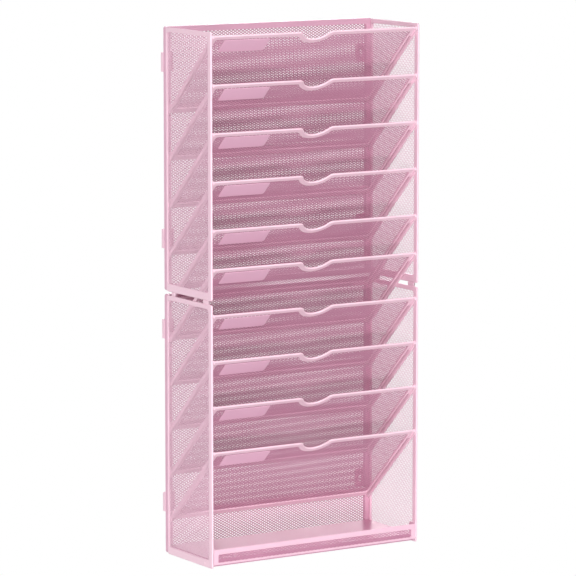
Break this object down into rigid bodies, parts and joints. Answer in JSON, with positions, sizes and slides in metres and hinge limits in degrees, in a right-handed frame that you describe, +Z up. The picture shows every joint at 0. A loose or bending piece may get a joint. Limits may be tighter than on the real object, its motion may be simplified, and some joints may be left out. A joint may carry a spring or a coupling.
{
  "type": "wall file holder",
  "caption": "Tall wall-hung mesh file holder with a column of sloping folder pockets, label plates and a low tray at the bottom.",
  "frame": {"origin": "on the wall plane, in the middle of the width, level with the bottom edge of the lower side frames", "axes": "+Z up, +Y into the wall, so the open front faces -Y, and +X to the right for someone who faces the holder"},
  "size_m": [0.325, 0.127, 0.7047],
  "materials": {
    "frame_paint": "smooth satin pink powder coat on folded sheet steel",
    "mesh_paint": "satin pink powder coat on expanded steel mesh",
    "label_paint": "smooth satin pink powder coat on a flat plate"
  },
  "bodies": {
    "root": {"side_frame_upper_left": "frame_paint", "side_frame_upper_right": "frame_paint", "side_frame_lower_left": "frame_paint", "side_frame_lower_right": "frame_paint", "side_mesh_upper_left": "mesh_paint", "side_mesh_upper_right": "mesh_paint", "side_mesh_lower_left": "mesh_paint", "side_mesh_lower_right": "mesh_paint", "back_frame_upper": "frame_paint", "back_frame_lower": "frame_paint", "back_mesh_upper": "mesh_paint", "back_mesh_lower": "mesh_paint", "pocket_frame_01": "frame_paint", "pocket_frame_02": "frame_paint", "pocket_frame_03": "frame_paint", "pocket_frame_04": "frame_paint", "pocket_frame_05": "frame_paint", "pocket_frame_06": "frame_paint", "pocket_frame_07": "frame_paint", "pocket_frame_08": "frame_paint", "pocket_frame_09": "frame_paint", "pocket_frame_10": "frame_paint", "pocket_mesh_01": "mesh_paint", "pocket_mesh_02": "mesh_paint", "pocket_mesh_03": "mesh_paint", "pocket_mesh_04": "mesh_paint", "pocket_mesh_05": "mesh_paint", "pocket_mesh_06": "mesh_paint", "pocket_mesh_07": "mesh_paint", "pocket_mesh_08": "mesh_paint", "pocket_mesh_09": "mesh_paint", "pocket_mesh_10": "mesh_paint", "label_plate_01": "label_paint", "label_plate_02": "label_paint", "label_plate_03": "label_paint", "label_plate_04": "label_paint", "label_plate_05": "label_paint", "label_plate_06": "label_paint", "label_plate_07": "label_paint", "label_plate_08": "label_paint", "label_plate_09": "label_paint", "label_plate_10": "label_paint", "tray_floor": "frame_paint", "tray_rail_frame": "frame_paint", "tray_rail_mesh": "mesh_paint", "join_tab_front_left": "frame_paint", "join_tab_front_right": "frame_paint", "join_tab_back_left": "frame_paint", "join_tab_back_right": "frame_paint", "wall_hanger_left_1": "frame_paint", "wall_hanger_left_2": "frame_paint", "wall_hanger_left_3": "frame_paint", "wall_hanger_left_4": "frame_paint", "wall_hanger_right_1": "frame_paint", "wall_hanger_right_2": "frame_paint", "wall_hanger_right_3": "frame_paint", "wall_hanger_right_4": "frame_paint"}
  },
  "joints": []
}
